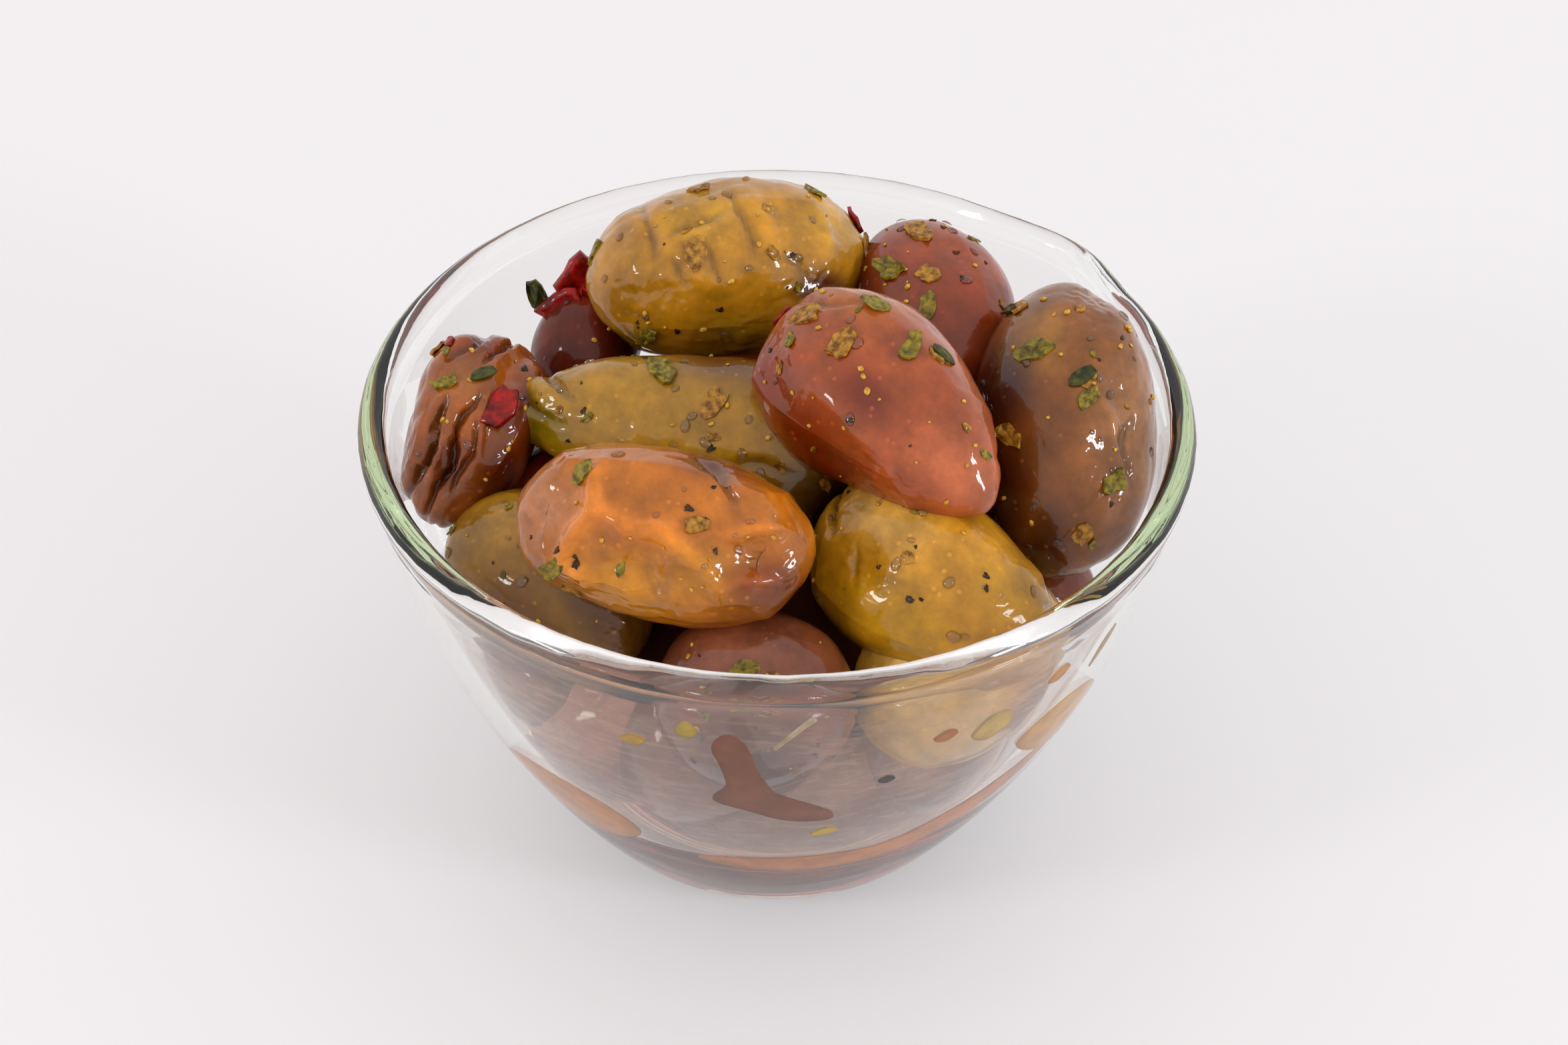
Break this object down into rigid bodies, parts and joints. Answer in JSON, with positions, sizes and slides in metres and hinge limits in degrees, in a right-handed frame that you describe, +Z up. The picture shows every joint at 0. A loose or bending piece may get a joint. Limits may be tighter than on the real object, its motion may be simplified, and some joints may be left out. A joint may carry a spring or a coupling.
{
  "type": "bowl of olives",
  "caption": "Small clear glass bowl with a rounded rim bead and a pouring lip, heaped with mixed marinated olives over a shallow pool of oil.",
  "frame": {"origin": "centre of the bowl's flat foot, on the surface that it stands on", "axes": "+Z up along the bowl's turning axis; the pouring lip points to the back right, 43 degrees from +X towards +Y"},
  "size_m": [0.0898, 0.0898, 0.0689],
  "materials": {
    "glass": "clear pressed soda-lime glass, fire-polished rim, faint green in its thick edges, smeared with oil inside",
    "olives": "wet, oily olive skins from green-tan and amber to red-brown and maroon, creased and dented",
    "oil": "reddish-brown olive oil marinade, clear and glossy"
  },
  "bodies": {
    "root": {"glass_bowl": "glass", "olive_heap": "olives", "marinade_oil": "oil"}
  },
  "joints": []
}
